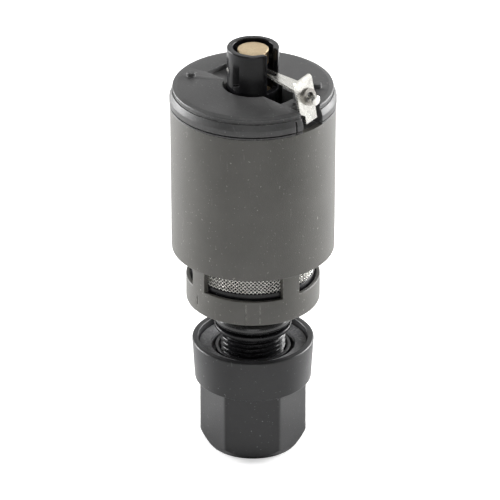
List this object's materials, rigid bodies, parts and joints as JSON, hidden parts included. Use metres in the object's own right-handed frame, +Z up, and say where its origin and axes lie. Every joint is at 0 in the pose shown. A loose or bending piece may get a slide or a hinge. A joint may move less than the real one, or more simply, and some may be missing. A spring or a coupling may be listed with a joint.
{
  "type": "automatic float drain valve",
  "caption": "Automatic drain: annular float on a slotted tube lifts a lever and brass plunger; mesh strainer, threaded stem and dished hexagonal bowl nut below.",
  "frame": {"origin": "centre of the bowl nut's bottom face, at the mouth of the drain outlet", "axes": "+Z up the valve's axis towards the brass plunger, +X along the lever towards the float pin"},
  "size_m": [0.0429, 0.0422, 0.1123],
  "materials": {
    "black_nylon": "gloss black moulded nylon",
    "satin_nylon": "satin black moulded nylon",
    "float_plastic": "matte warm dark grey moulded plastic",
    "lid_plastic": "matte dark grey moulded plastic",
    "stainless": "bright stamped stainless",
    "mesh_steel": "woven stainless wire",
    "spring_steel": "drawn spring wire",
    "brass": "turned brass",
    "rubber": "glossy black nitrile rubber",
    "washer_rubber": "grained grey rubber"
  },
  "bodies": {
    "valve_body": {"drain_stem": "black_nylon", "neck_seal": "rubber", "strainer_cage": "float_plastic", "strainer_mesh": "mesh_steel", "strainer_hoop": "black_nylon", "guide_tube": "black_nylon", "cylinder_gasket": "rubber", "piston_cylinder": "satin_nylon", "return_spring": "spring_steel", "drain_seat": "brass", "pilot_seat_seal": "rubber", "pilot_seat": "brass", "lever_pivot_pin": "stainless"},
    "float": {"float_shell": "float_plastic", "float_lid": "lid_plastic", "float_pin": "stainless"},
    "lever": {"float_lever": "stainless", "lever_eyelet": "spring_steel"},
    "plunger": {"brass_plunger": "brass", "plunger_pad": "rubber"},
    "drain_valve": {"piston": "satin_nylon", "piston_seal": "rubber", "valve_rod": "stainless", "drain_poppet": "brass", "poppet_seal": "rubber", "rod_clip": "stainless"},
    "nut_carriage": {"bowl_washer": "washer_rubber"},
    "nut": {"bowl_nut": "satin_nylon"}
  },
  "joints": [
    {"name": "float_lift", "type": "slide", "parent": "valve_body", "child": "float", "axis": [0, 0, 1], "range_m": [0, 0.004]},
    {"name": "lever_tilt", "type": "hinge", "parent": "valve_body", "child": "lever", "pos_m": [-0.0032, 0, 0.10665], "axis": [0, -1, 0], "range_deg": [0, 12]},
    {"name": "plunger_lift", "type": "slide", "parent": "valve_body", "child": "plunger", "axis": [0, 0, 1], "range_m": [0, 0.0009]},
    {"name": "drain_open", "type": "slide", "parent": "valve_body", "child": "drain_valve", "axis": [0, 0, -1], "range_m": [0, 0.0025], "stiffness_N_per_m": 400, "springref_m": -0.002, "deforming": ["return_spring"]},
    {"name": "nut_travel", "type": "slide", "parent": "valve_body", "child": "nut_carriage", "axis": [0, 0, 1], "range_m": [-0.00536, 0.00302]},
    {"name": "nut_turn", "type": "hinge", "parent": "nut_carriage", "child": "nut", "pos_m": [0, 0, 0.015], "axis": [0, 0, 1], "range_deg": [-1440, 810]}
  ],
  "couplings": [
    {"joint": "lever_tilt", "follows": "float_lift", "rad_per_m": 46.688},
    {"joint": "plunger_lift", "follows": "float_lift", "ratio": 0.2125},
    {"joint": "nut_travel", "follows": "nut_turn", "m_per_rad": 0.00021279}
  ]
}
